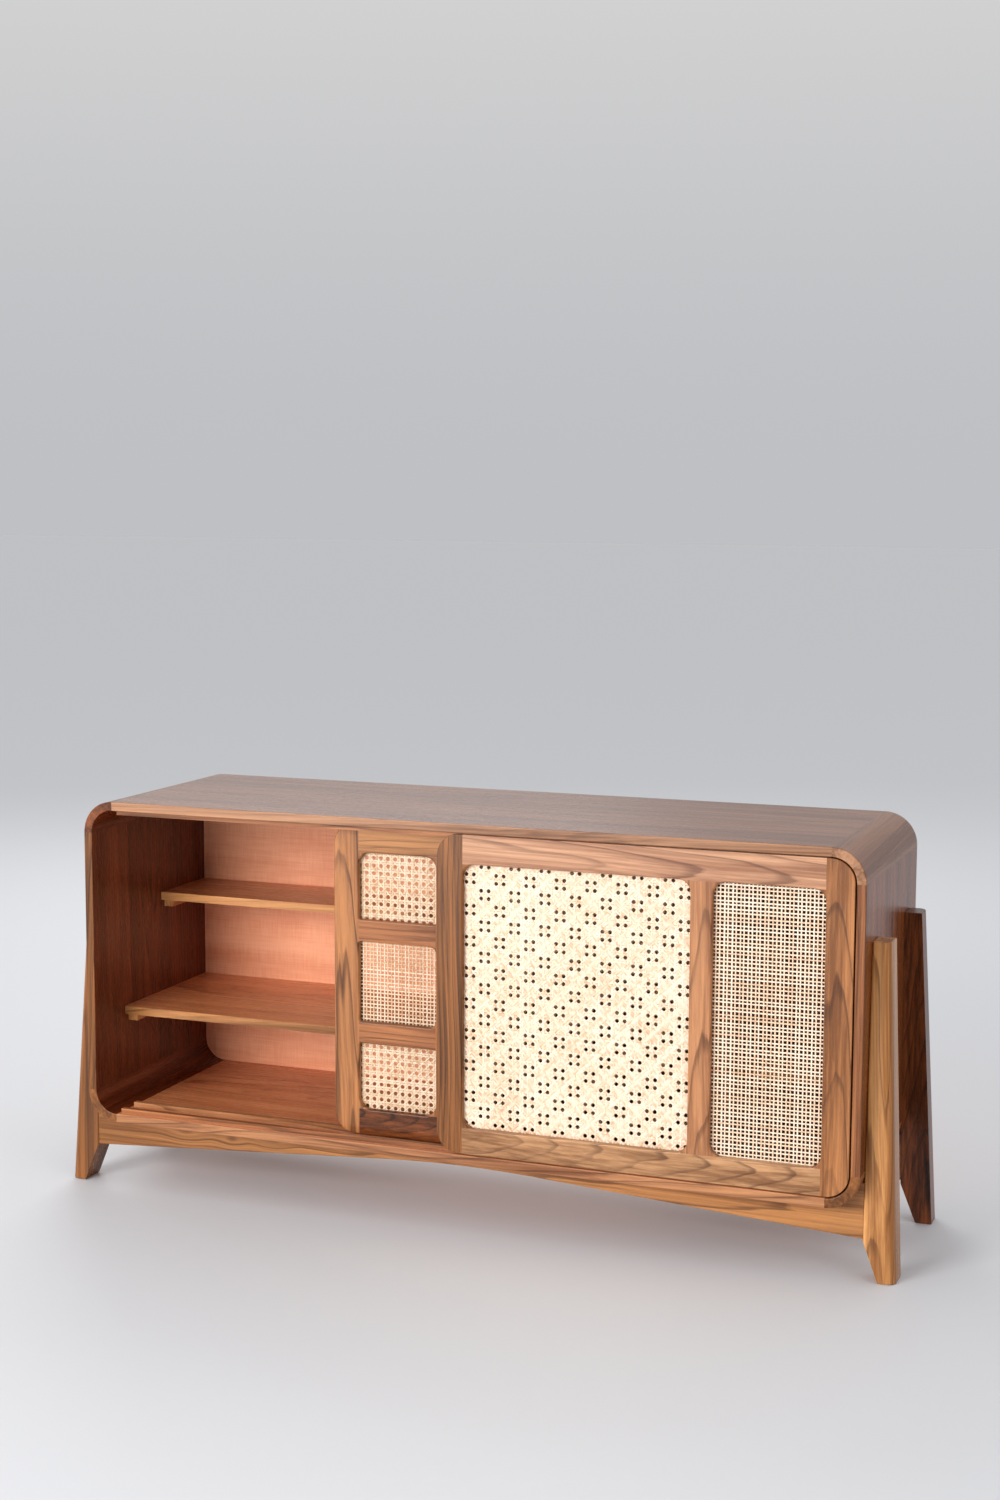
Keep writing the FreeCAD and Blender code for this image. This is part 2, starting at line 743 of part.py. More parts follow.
# ---------------------------------------------------------------- the doors
def door(prefix, left, face, openings, pieces):
    """A framed door: stiles and rails cut from one rounded blank, cane panels, beads and glides.

    openings maps a name to (left, bottom, right, top, radii) inside the door; pieces maps a name
    to (left, bottom, right, top), also inside the door.
    """
    body = new_body(prefix + "_blank", left, face, "door_bottom")
    outline = new_sketch(body, prefix + "_outline")
    rounded_rectangle(outline, "0", "0", "door_width", "door_height", ["door_radius"] * 4)
    pad(body, outline, "door_thickness")
    doc.recompute()
    lights = new_sketch(body, prefix + "_lights")
    rebates = new_sketch(body, prefix + "_rebates", offset="-cane_recess")
    for x0, z0, x1, z1, radii in openings.values():
        rounded_rectangle(lights, x0, z0, x1, z1, radii)
        grown(rebates, (x0, z0, x1, z1, radii), "cane_border")
    doc.recompute()
    pocket(body, lights)
    pocket(body, rebates)
    inside = number("stile") / 2

    def on_face(bounds):
        return bounds.YMax < NEAR

    def in_opening(bounds):
        return (
            on_face(bounds)
            and bounds.XMin > inside
            and bounds.XMax < number("door_width") - inside
            and bounds.ZMin > inside
            and bounds.ZMax < number("door_height") - inside
        )

    fillet(body, edges_where(own_shape(body), in_opening), "opening_round")
    rims = edges_where(own_shape(body), lambda b: on_face(b) and not in_opening(b))
    fillet(body, rims, "door_arris")

    grooves = []
    for level, z in (
        ("foot", ("door_bottom - 1", "door_bottom + foot_groove")),
        ("head", ("door_bottom + door_height - head_groove", "door_bottom + door_height + 1")),
    ):
        y = (f"{face} + groove_inset", f"{face} + groove_inset + groove_width")
        x = (f"{left} - 1", f"{left} + door_width + 1")
        grooves.append(box(f"{prefix}_{level}_groove", x, y, z))
    blank = cut(prefix + "_grooved", body, grooves)

    def window(name, x0, z0, x1, z1):
        """A box that takes in the door's whole thickness between two corners."""
        return box(
            f"{prefix}_{name}",
            (f"{left} + {x0}", f"{left} + {x1}"),
            (f"{face} - 1", f"{face} + door_thickness + 1"),
            (f"door_bottom + {z0}", f"door_bottom + {z1}"),
        )

    # the stiles also carry the rounded corners of the openings beside them
    for name, (x0, z0, x1, z1) in pieces.items():
        if "stile" in name:
            reach = window(name + "_reach", f"{x0} - opening_radius", z0, f"{x1} + opening_radius", z1)
            others = [
                window(f"{name}_beside_{other}", *corners)
                for other, corners in pieces.items()
                if other != name
            ]
            piece = cut(f"{prefix}_{name}_piece", common(f"{prefix}_{name}_part", blank, reach), others)
        else:
            piece = common(f"{prefix}_{name}_piece", blank, window(name + "_window", x0, z0, x1, z1))
        node(piece, f"{prefix}_{name}")

    beads = []
    for name, opening in openings.items():
        cane = new_body(f"{prefix}_{name}_cane_body", left, f"{face} + cane_recess", "door_bottom")
        weave = new_sketch(cane, f"{prefix}_{name}_cane_outline")
        grown(weave, opening, "cane_border - cane_clearance")
        pad(cane, weave, "cane_thickness")
        node(cane, f"{prefix}_{name}_cane")
        seat = f"{face} + cane_recess + cane_thickness"
        strip = new_body(f"{prefix}_{name}_bead", left, seat, "door_bottom")
        ring = new_sketch(strip, f"{prefix}_{name}_bead_outline")
        grown(ring, opening, "cane_border - cane_clearance")
        grown(ring, opening, "cane_border - cane_clearance - bead_width")
        pad(strip, ring, "bead_thickness")
        beads.append(strip)
    node(group(prefix + "_bead_set", beads), prefix + "_cane_beads")

    glides = []
    for end, x in (
        ("left", f"{left} + glide_inset"),
        ("right", f"{left} + door_width - glide_inset - glide_length"),
    ):
        glide = box(
            f"{prefix}_{end}_glide",
            (x, f"{x} + glide_length"),
            (f"{face} + groove_inset", f"{face} + groove_inset + groove_width"),
            ("inner_floor + guide_height", "inner_floor + guide_height + glide_thickness"),
        )
        glides.append(glide)
    node(group(prefix + "_glide_pair", glides), prefix + "_glides")


SOFT = "opening_radius"
NICK = "opening_nick"
EASED = "middle_opening_radius"
head = "door_height - top_rail"
right_light = "door_width - stile"

front_split = f"{right_light} - narrow_opening"
door(
    "front_door",
    "front_door_x",
    "front_door_y",
    {
        "large": ("stile", "bottom_rail", f"{front_split} - mid_stile", head, [SOFT] * 4),
        "narrow": (front_split, "bottom_rail", right_light, head, [SOFT] * 4),
    },
    {
        "left_stile": ("0", "0", "stile", "door_height"),
        "right_stile": (right_light, "0", "door_width", "door_height"),
        "top_rail": ("stile", head, right_light, "door_height"),
        "bottom_rail": ("stile", "0", right_light, "bottom_rail"),
        "mid_stile": (f"{front_split} - mid_stile", "bottom_rail", front_split, head),
    },
)

column = "stile + small_opening"
low = "bottom_rail + small_opening_height"
high = f"{head} - small_opening_height"
door(
    "inner_door",
    "inner_door_x",
    "inner_door_y",
    {
        "top": ("stile", high, column, head, [NICK, SOFT, SOFT, NICK]),
        "middle": (
            "stile",
            f"{low} + cross_rail",
            column,
            f"{high} - cross_rail",
            [EASED, EASED, NICK, NICK],
        ),
        "bottom": ("stile", "bottom_rail", column, low, [SOFT, NICK, NICK, SOFT]),
        "large": (f"{column} + mid_stile", "bottom_rail", right_light, head, [SOFT] * 4),
    },
    {
        "left_stile": ("0", "0", "stile", "door_height"),
        "right_stile": (right_light, "0", "door_width", "door_height"),
        "top_rail": ("stile", head, right_light, "door_height"),
        "bottom_rail": ("stile", "0", right_light, "bottom_rail"),
        "mid_stile": (column, "bottom_rail", f"{column} + mid_stile", head),
        "upper_cross_rail": ("stile", f"{high} - cross_rail", column, high),
        "lower_cross_rail": ("stile", low, column, f"{low} + cross_rail"),
    },
)

# ---------------------------------------------------------------- write the pieces
doc.recompute()
for item in doc.Objects:
    if "Invalid" in item.State or "Error" in item.State:
        raise ValueError(f"{item.Name} did not build: {item.State}")
os.makedirs("parts", exist_ok=True)
for piece in NODES:
    if piece.Shape.isNull() or not piece.Shape.isValid():
        raise ValueError(f"{piece.Label} is not a valid solid")
    piece.Shape.exportStep(f"parts/{piece.Label}.step")
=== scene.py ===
"""Looks of the media cabinet: oiled teak boards, woven cane in the doors, floor, light and camera.

Metres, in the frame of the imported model: +Z up, +X to the right of someone facing the doors.
"""

import math

import bpy
import numpy as np
from mathutils import Euler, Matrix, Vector

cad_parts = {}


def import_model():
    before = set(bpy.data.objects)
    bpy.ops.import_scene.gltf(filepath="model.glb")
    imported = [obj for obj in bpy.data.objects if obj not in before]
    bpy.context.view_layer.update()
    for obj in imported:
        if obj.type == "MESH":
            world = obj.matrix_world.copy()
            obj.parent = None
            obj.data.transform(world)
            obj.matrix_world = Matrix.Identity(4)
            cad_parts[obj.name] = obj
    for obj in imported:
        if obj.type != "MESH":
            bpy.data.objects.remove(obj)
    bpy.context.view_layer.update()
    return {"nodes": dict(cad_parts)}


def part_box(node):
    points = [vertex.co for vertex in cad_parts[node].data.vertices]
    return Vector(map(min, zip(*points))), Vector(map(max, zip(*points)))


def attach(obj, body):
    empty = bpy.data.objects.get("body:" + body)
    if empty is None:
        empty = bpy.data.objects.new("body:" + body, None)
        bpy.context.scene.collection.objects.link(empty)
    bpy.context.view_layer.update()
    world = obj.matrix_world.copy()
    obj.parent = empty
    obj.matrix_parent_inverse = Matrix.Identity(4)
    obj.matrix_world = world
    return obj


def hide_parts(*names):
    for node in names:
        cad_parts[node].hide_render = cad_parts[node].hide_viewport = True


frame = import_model()
NODES = frame["nodes"]
rng = np.random.default_rng(11)


# ---------------------------------------------------------------- shader building
class Shader:
    """Adds nodes to a tree and wires them.

    An input may be given another node's output, or a plain number or tuple that is set on it.
    """

    def __init__(self, tree):
        self.tree = tree

    def add(self, kind, inputs=None, **settings):
        item = self.tree.nodes.new("ShaderNode" + kind)
        for name, value in settings.items():
            setattr(item, name, value)
        for name, value in (inputs or {}).items():
            self.feed(item.inputs[name], value)
        return item

    def feed(self, socket, value):
        if isinstance(value, bpy.types.NodeSocket):
            self.tree.links.new(value, socket)
        else:
            socket.default_value = value

    def math(self, operation, *values, clamp=False):
        item = self.add("Math", operation=operation, use_clamp=clamp)
        for index, value in enumerate(values):
            self.feed(item.inputs[index], value)
        return item.outputs[0]

    def plus(self, *values, clamp=False):
        return self.math("ADD", *values, clamp=clamp)

    def minus(self, *values):
        return self.math("SUBTRACT", *values)

    def times(self, *values):
        return self.math("MULTIPLY", *values)

    def swing(self, value, amount):
        """A value between 0 and 1, moved to lie about 0 and scaled to this amount."""
        return self.times(self.minus(value, 0.5), amount)

    def length(self, first, second):
        """The length of the vector with these two parts."""
        return self.math("SQRT", self.plus(self.times(first, first), self.times(second, second)))

    def split(self, vector):
        return self.add("SeparateXYZ", {"Vector": vector}).outputs

    def join(self, x, y, z):
        return self.add("CombineXYZ", {"X": x, "Y": y, "Z": z}).outputs[0]

    def mix(self, share, first, second):
        """A colour between the first and the second."""
        item = self.add("Mix", data_type="RGBA")
        for index, value in ((0, share), (6, first), (7, second)):
            self.feed(item.inputs[index], value)
        return item.outputs[2]

    def noise(self, vector, scale=1.0, detail=3.0, rough=0.5):
        inputs = {"Vector": vector, "Scale": scale, "Detail": detail, "Roughness": rough}
        return self.add("TexNoise", inputs).outputs["Fac"]

    def ramp(self, value, low, high, start=0.0, end=1.0):
        """Rises smoothly from start to end while the value goes from low to high."""
        inputs = {"Value": value, 1: low, 2: high, 3: start, 4: end}
        return self.add("MapRange", inputs, clamp=True, interpolation_type="SMOOTHSTEP").outputs[0]

    def white(self, value):
        """Random numbers that jump whenever the value changes: as a colour and as a single one."""
        outputs = self.add("TexWhiteNoise", {"W": value}, noise_dimensions="1D").outputs
        return outputs["Color"], outputs["Value"]

    def bump(self, height, strength, distance):
        inputs = {"Height": height, "Strength": strength, "Distance": distance}
        return self.add("Bump", inputs).outputs[0]


def new_material(name):
    """A material, a Shader that adds nodes to it, and the sockets of its surface."""
    material = bpy.data.materials.new(name)
    material.use_nodes = True
    tree = material.node_tree
    return material, Shader(tree), tree.nodes["Principled BSDF"].inputs


def linear(red, green, blue):
    """A colour given as 0 to 255 screen values, as the shader wants it."""
    return tuple(
        (c / 12.92 if c <= 0.04045 else ((c + 0.055) / 1.055) ** 2.4)
        for c in (red / 255, green / 255, blue / 255)
    ) + (1.0,)


GROUP_COLOURS = ("Light", "Mid", "Dark")
# metres for Ring, Wobble and Stave, shares for the rest, and a Seed that differs on each board
GROUP_SIZES = {
    "Ring": 0.006,
    "Wobble": 0.005,
    "Stave": 10.0,
    "Stave tone": 0.0,
    "Stripe": 0.9,
    "Streak": 0.0,
    "Line": 0.6,
    "Pores": 0.35,
    "Seed": 0.0,
}
PORE_COLOUR = (0.02, 0.008, 0.003, 1.0)


def wood_group():
    """Sawn teak as a solid texture: x runs along the grain, and the pith lies on the x axis."""
    tree = bpy.data.node_groups.new("sawn_teak", "ShaderNodeTree")

    def socket(name, kind, side="INPUT"):
        return tree.interface.new_socket(name, in_out=side, socket_type="NodeSocket" + kind)

    socket("Vector", "Vector")
    for name in GROUP_COLOURS:
        socket(name, "Color")
    for name, size in GROUP_SIZES.items():
        socket(name, "Float").default_value = size
    socket("Color", "Color", "OUTPUT")
    socket("Roughness", "Float", "OUTPUT")
    socket("Height", "Float", "OUTPUT")
    s = Shader(tree)
    given = tree.nodes.new("NodeGroupInput").outputs
    seed = given["Seed"]

    # wide panels are glued up from staves, each cut from another part of the tree
    x, y, z = s.split(given["Vector"])
    stave = s.math("FLOOR", s.plus(s.math("DIVIDE", y, given["Stave"]), 0.37))
    luck, _ = s.white(s.plus(stave, seed))
    red, green, blue = s.split(luck)
    x = s.plus(x, s.times(red, 3.0))
    y = s.plus(y, s.swing(green, 0.03))
    along = s.plus(x, s.times(seed, 1.7))

    def drawn_out(length, width):
        """The place in the board, scaled by this much along it and by this much across it."""
        return s.join(s.times(along, length), s.times(y, width), s.times(z, width))

    def grain(length, width, **settings):
        """Noise drawn out along the board: this many times a metre along it and across it."""
        return s.noise(drawn_out(length, width), **settings)

    # the trunk isn't straight: its pith wanders, and its rings bulge
    bend = {"Vector": drawn_out(1.6, 9.0), "Scale": 1.0, "Detail": 2.0, "Roughness": 0.45}
    _, sway_y, sway_z = s.split(s.add("TexNoise", bend).outputs["Color"])
    wobble = s.times(given["Wobble"], 6.0)
    y = s.plus(y, s.swing(sway_y, wobble))
    z = s.plus(z, s.swing(sway_z, wobble))
    radius = s.length(y, z)
    ripple = s.times(grain(1.6, 45.0, detail=2.0), 0.9)
    phase = s.plus(s.math("DIVIDE", radius, given["Ring"]), ripple)
    year = s.math("FRACT", phase)
    edge = s.times(s.ramp(year, 0.72, 0.92), s.ramp(year, 1.0, 0.95))
    late = s.math("MAXIMUM", edge, s.ramp(year, 0.25, 0.9, 0.0, 0.28))
    late = s.times(late, s.ramp(grain(2.0, 30.0, detail=2.0), 0.3, 0.6, 0.3, 1.0))

    # tone varies in broad soft stripes, from year to year, and from stave to stave
    _, which = s.white(s.math("FLOOR", phase))
    stripe = s.ramp(grain(0.9, 32.0, detail=2.0, rough=0.5), 0.28, 0.72)
    fine = s.ramp(grain(1.8, 200.0, detail=3.0, rough=0.6), 0.25, 0.75)
    tone = s.swing(stripe, given["Stripe"])
    tone = s.plus(tone, s.swing(fine, 0.8))
    tone = s.plus(tone, s.swing(which, 0.16))
    tone = s.plus(tone, s.swing(blue, given["Stave tone"]))
    tone = s.plus(tone, 0.5, clamp=True)
    body = s.mix(tone, given["Mid"], given["Light"])
    streak = s.times(s.ramp(grain(0.9, 70.0, detail=2.0), 0.5, 0.74), given["Streak"])
    body = s.mix(streak, body, given["Dark"])
    body = s.mix(s.times(late, given["Line"]), body, given["Dark"])

    # fibres, and open pores that show as short dark dashes, mostly in the late wood
    fibre = grain(9.0, 620.0, detail=2.0, rough=0.6)
    shade = s.ramp(fibre, 0.3, 0.7, 0.0, 0.2)
    body = s.mix(shade, body, PORE_COLOUR)
    dash = grain(70.0, 1300.0, detail=1.0)
    pores = s.times(s.ramp(dash, 0.6, 0.72), s.plus(0.4, s.times(late, 0.6)))
    pores = s.times(pores, given["Pores"])
    colour = s.mix(pores, body, PORE_COLOUR)

    height = s.minus(s.times(fibre, 0.4), s.times(pores, 1.2))
    height = s.minus(height, s.times(late, 0.25))
    gloss = s.plus(s.times(fibre, 0.12), s.times(pores, 0.3))
    out = tree.nodes.new("NodeGroupOutput").inputs
    s.feed(out["Color"], colour)
    s.feed(out["Roughness"], gloss)
    s.feed(out["Height"], height)
    return tree


TEAK = wood_group()

# how the object's axes map to the wood's: the grain's own axis first, then across, then through
GRAIN = {"x": "xyz", "y": "yxz", "z": "zxy", "x_up": "xzy", "z_deep": "zyx"}

# light and dark of the clear wood, and the colour of its streaks and late-wood lines
TONES = {
    "gold": ((195, 134, 80), (131, 82, 43), (63, 30, 13)),
    "honey": ((191, 127, 77), (127, 78, 43), (56, 26, 11)),
    "tan": ((158, 99, 52), (96, 57, 26), (40, 18, 7)),
    "orange": ((197, 137, 93), (134, 83, 52), (66, 31, 15)),
    "pale": ((204, 154, 110), (139, 95, 61), (70, 37, 20)),
    "amber": ((229, 165, 101), (155, 100, 53), (76, 38, 16)),
    "straw": ((228, 166, 106), (198, 130, 76), (110, 58, 26)),
    "terra": ((238, 158, 106), (206, 126, 80), (124, 60, 34)),
    "brown": ((186, 120, 75), (118, 69, 38), (50, 23, 11)),
    # the top's front edges: the wood's own tone, made paler and greyer with painted sheen
    "dusk_with_painted_sheen": ((188, 137, 102), (119, 79, 52), (51, 27, 15)),
    "pink": ((212, 160, 124), (158, 108, 80), (84, 45, 30)),
    "umber": ((147, 80, 39), (82, 41, 16), (30, 12, 5)),
    # the right side's outer face: partly darker wood, partly painted shade
    "rust_with_painted_shade": ((148, 78, 34), (94, 45, 15), (34, 13, 5)),
    "bark": ((142, 76, 38), (80, 38, 16), (20, 9, 4)),
    # painted shade: the dark tone of the left bay's inner faces
    "deep": ((124, 56, 29), (84, 34, 15), (28, 10, 5)),
    "grey": ((150, 98, 66), (112, 66, 42), (66, 36, 23)),
}

KNOT_COLOUR = linear(58, 28, 16)
# the roughness of the wood's smoothest parts
SMOOTHEST = 0.21


def wood(name, grain, tone, pith=(0.0, 0.03, 0.05), tilt=(0.03, 0.02), knots=(), **sizes):
    """A teak material.

    grain picks the board's axes, pith is where the heart of its tree lies, and tilt is how far the
    heart leans, in radians. Each knot is its place along and across the board, measured like the
    pith, with its radius. The sizes are the wood group's inputs.
    """
    material, s, surface = new_material(name)
    where = dict(zip("xyz", s.split(s.add("TexCoord").outputs["Object"])))
    x, y, z = (where[letter] for letter in GRAIN[grain])
    eyes = []
    for knot_x, knot_y, knot_radius in knots:
        # the grain flows round a knot, and is dark in its eye
        along = s.times(s.minus(x, knot_x), 0.5)
        across = s.minus(y, knot_y)
        far = s.length(along, across)
        swerve = s.ramp(far, knot_radius * 3.0, 0.0)
        y = s.minus(y, s.times(across, s.times(swerve, 0.9)))
        eyes.append(s.ramp(far, knot_radius, knot_radius * 0.1, 0.0, 0.5))
    away = s.add("VectorMath", {0: s.join(x, y, z), 1: pith}, operation="SUBTRACT").outputs[0]
    turned = s.add("Mapping", {"Vector": away, "Rotation": (0.0, *tilt)}).outputs[0]
    figure = s.add("Group", node_tree=TEAK)
    s.feed(figure.inputs["Vector"], turned)
    for label, colour in zip(GROUP_COLOURS, TONES[tone]):
        figure.inputs[label].default_value = linear(*colour)
    for label, size in sizes.items():
        figure.inputs[label.replace("_", " ").capitalize()].default_value = size
    colour = figure.outputs["Color"]
    for eye in eyes:
        colour = s.mix(eye, colour, KNOT_COLOUR)
    s.feed(surface["Base Color"], colour)
    s.feed(surface["Roughness"], s.plus(figure.outputs["Roughness"], SMOOTHEST))
    s.feed(surface["Normal"], s.bump(figure.outputs["Height"], 0.3, 0.0003))
    surface["Specular IOR Level"].default_value = 0.28
    return material


def plywood(name):
    """Stained veneer: pinkish, with a faint cross-hatch and soft bands."""
    material, s, surface = new_material(name)
    x, _, z = s.split(s.add("TexCoord").outputs["Object"])

    def drawn_out(wide, layer, high, detail=3.0):
        """Noise of so many times a metre across and upward, each from a layer of its own."""
        return s.noise(s.join(s.times(x, wide), layer, s.times(z, high)), detail=detail)

    across = drawn_out(14.0, 0.0, 420.0)
    upward = drawn_out(420.0, 3.0, 22.0)
    bands = drawn_out(1.8, 7.0, 26.0, detail=4.0)
    cloud = drawn_out(5.0, 9.0, 7.0)
    tone = s.plus(s.times(across, 0.5), s.times(upward, 0.45))
    tone = s.plus(tone, s.times(bands, 0.75))
    tone = s.plus(tone, s.times(cloud, 0.5))
    colour = s.mix(s.ramp(tone, 0.75, 1.4), linear(220, 133, 92), linear(250, 179, 137))
    s.feed(surface["Base Color"], colour)
    surface["Roughness"].default_value = 0.55
    s.feed(surface["Normal"], s.bump(tone, 0.2, 0.0003))
    return material


def cane_material(name, dull, middling, bright):
    """Peeled cane: straw colour that differs from strand to strand."""
    material, s, surface = new_material(name)
    strand = s.add("Attribute", attribute_name="strand").outputs["Fac"]
    place = s.add("TexCoord").outputs["Object"]
    blotch = s.noise(place, scale=160.0, detail=3.0, rough=0.6)
    cloud = s.noise(place, scale=9.0, detail=3.0)
    tone = s.plus(s.times(strand, 0.5), s.times(blotch, 0.6))
    tone = s.plus(tone, s.times(cloud, 0.45))
    pale = s.mix(s.ramp(tone, 0.3, 0.7), linear(*dull), linear(*middling))
    colour = s.mix(s.ramp(tone, 0.6, 1.1), pale, linear(*bright))
    s.feed(surface["Base Color"], colour)
    s.feed(surface["Roughness"], s.plus(0.38, s.times(blotch, 0.2)))
    s.feed(surface["Normal"], s.bump(blotch, 0.15, 0.0002))
    return material


def plain(name, colour, rough, cloudiness):
    """A plain matt material with faint clouds."""
    material, s, surface = new_material(name)
    cloud = s.noise(s.add("TexCoord").outputs["Object"], scale=40.0, detail=4.0)
    share = s.times(cloud, cloudiness)
    darker = tuple(channel * 0.7 for channel in colour[:3]) + (1.0,)
    s.feed(surface["Base Color"], s.mix(share, colour, darker))
    surface["Roughness"].default_value = rough
    return material


def looks_out(face):
    """The side of the cabinet that a face of a board is on: its front, its inside or neither."""
    if face.normal.y < -0.7:
        return "front"
    inward = BOX_MIDDLE - face.center
    if abs(face.normal.y) < 0.5 and face.normal.x * inward.x + face.normal.z * inward.z > 0:
        return "inside"
    return "rest"


def dress(node, material, **patches):
    """Gives a CAD node one material, and others on its front or inside faces, some of them painted
    shade or painted sheen.
    """
    mesh = NODES[node].data
    mesh.materials.clear()
    mesh.materials.append(material)
    sides = {}
    for side, other in patches.items():
        sides[side] = len(mesh.materials)
        mesh.materials.append(other)
    if sides:
        for face in mesh.polygons:
            face.material_index = sides.get(looks_out(face), 0)


# ---------------------------------------------------------------- the boards
def board_centre(node):
    low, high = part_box(node)
    return (low + high) / 2


BOX_MIDDLE = (board_centre("top_panel") + board_centre("bottom_panel")) / 2


def board_middle(node, grain):
    """The board's middle, measured along its grain, across it and through its thickness."""
    middle = dict(zip("xyz", board_centre(node)))
    return [middle[letter] for letter in GRAIN[grain]]


# node: (grain, tone, pith across, pith through, other settings of wood())
BOARDS = {
    "top_panel": ("x", "grey", 0.02, -0.09, dict(stave=0.075, stave_tone=0.25, line=0.25)),
    "bottom_panel": ("x", "terra", 0.03, -0.10, dict(ring=0.007, stave=0.085, stave_tone=0.3)),
    "left_side": ("z_deep", "honey", 0.02, -0.10, dict(stave=0.066, stave_tone=0.6)),
    # the outer face is darker than the front edge, partly with painted shade
    "right_side": ("z_deep", "rust_with_painted_shade", 0.02, 0.10, dict(stave=0.07, stave_tone=0.5)),
    "top_left_corner": ("y", "grey", 0.08, 0.03, dict(line=0.2)),
    "top_right_corner": ("y", "grey", 0.07, -0.06, dict(line=0.2)),
    "bottom_left_corner": ("y", "brown", 0.09, 0.02, dict(line=0.25)),
    "bottom_right_corner": ("y", "brown", -0.07, 0.06, dict(line=0.25)),
    "centre_divider": ("z_deep", "brown", 0.02, 0.08, dict(stave=0.08, stave_tone=0.4)),
    "top_front_guide_rail": ("x", "brown", 0.03, 0.02, {}),
    "top_rear_guide_rail": ("x", "brown", 0.03, 0.02, {}),
    "bottom_front_guide_rail": ("x", "brown", 0.03, 0.02, {}),
    "bottom_rear_guide_rail": ("x", "orange", 0.03, 0.02, {}),
    "left_upper_shelf": ("x", "terra", 0.02, -0.07, dict(stave=0.08, stave_tone=0.3)),
    "left_lower_shelf": ("x", "terra", 0.03, -0.08, dict(stave=0.09, stave_tone=0.3)),
    "right_upper_shelf": ("x", "terra", 0.02, -0.07, dict(stave=0.08, stave_tone=0.3)),
    "right_lower_shelf": ("x", "terra", 0.03, -0.08, dict(stave=0.09, stave_tone=0.3)),
    "left_upper_cleats": ("y", "straw", 0.03, 0.03, {}),
    "left_lower_cleats": ("y", "straw", 0.03, 0.03, {}),
    "right_upper_cleats": ("y", "gold", 0.03, 0.03, {}),
    "right_lower_cleats": ("y", "gold", 0.03, 0.03, {}),
    "front_left_leg": ("z", "tan", 0.03, 0.05, dict(ring=0.007, stripe=1.2, streak=0.5)),
    "front_right_leg": ("z", "amber", 0.004, 0.03, dict(tilt=(0.09, 0.03))),
    "back_left_leg": ("z", "umber", 0.03, 0.05, dict(line=0.35, streak=0.5)),
    "back_right_leg": ("z", "bark", 0.02, 0.05, dict(line=0.5, streak=0.9)),
    "front_rail": ("x_up", "gold", 0.01, 0.05, dict(streak=0.35, tilt=(0.02, 0.01))),
    "back_rail": ("x_up", "orange", 0.01, 0.05, dict(line=0.35, streak=0.25)),
    "left_cross_bearer": ("y", "brown", 0.03, 0.03, {}),
    "right_cross_bearer": ("y", "brown", 0.03, 0.03, {}),
    "front_door_left_stile": ("z", "tan", 0.035, 0.03, dict(stripe=1.4)),
    "front_door_mid_stile": ("z", "orange", 0.02, 0.06, {}),
    "front_door_right_stile": ("z", "honey", 0.004, 0.04, dict(stripe=1.0, tilt=(0.05, 0.01))),
    "front_door_top_rail": ("x_up", "pink", 0.01, 0.06, dict(streak=0.25)),
    "front_door_bottom_rail": ("x_up", "pale", 0.004, 0.04, dict(tilt=(0.07, 0.01))),
    "inner_door_left_stile": ("z", "honey", 0.002, 0.022, dict(streak=0.2, line=0.8, ring=0.008)),
    "inner_door_mid_stile": ("z", "brown", 0.02, 0.06, {}),
    "inner_door_right_stile": ("z", "orange", 0.02, 0.06, {}),
    "inner_door_top_rail": ("x_up", "gold", 0.02, 0.05, {}),
    "inner_door_bottom_rail": (
        "x_up", "umber", 0.0, 0.03, dict(ring=0.007, line=0.8, tilt=(0.16, 0.02))
    ),
    "inner_door_upper_cross_rail": ("x_up", "brown", 0.02, 0.06, dict(stripe=1.0)),
    "inner_door_lower_cross_rail": ("x_up", "brown", 0.02, 0.06, dict(stripe=1.0)),
}

# knots: how far along and across the board they lie from its middle, and their radius
KNOTS = {
    "front_rail": ((-0.50, 0.000, 0.011), (-0.41, -0.006, 0.008), (-0.33, 0.002, 0.010)),
    "left_lower_shelf": ((0.06, -0.16, 0.005),),
}

# boards whose front edge or inner face is another tone; the dark inner faces of the left bay are
# painted shade, and the top's paler front edges are partly painted sheen
PATCHES = {
    # the top's front edge: partly painted sheen
    "top_panel": {"front": "dusk_with_painted_sheen"},
    "bottom_panel": {"front": "orange"},
    # the inner faces of the left side and of the two left corners take painted shade
    "left_side": {"front": "tan", "inside": "deep"},
    "right_side": {"front": "brown"},
    "top_left_corner": {"front": "umber", "inside": "deep"},
    # the corner's front edge: partly painted sheen
    "top_right_corner": {"front": "dusk_with_painted_sheen"},
    "bottom_left_corner": {"front": "tan", "inside": "deep"},
    "bottom_right_corner": {"front": "tan"},
    "left_upper_shelf": {"front": "straw"},
    "left_lower_shelf": {"front": "gold"},
    "right_upper_shelf": {"front": "straw"},
    "right_lower_shelf": {"front": "gold"},
}

for seed, (node, (grain, tone, across, through, sizes)) in enumerate(BOARDS.items()):
    middle = board_middle(node, grain)
    settings = dict(
        sizes,
        pith=(0.0, middle[1] + across, middle[2] + through),
        knots=[(middle[0] + x, middle[1] + y, size) for x, y, size in KNOTS.get(node, ())],
        seed=seed * 1.37,
    )
    main = wood("teak_" + node, grain, tone, **settings)
    patches = {
        side: wood(f"teak_{node}_{side}", grain, other, **settings)
        for side, other in PATCHES.get(node, {}).items()
    }
    dress(node, main, **patches)

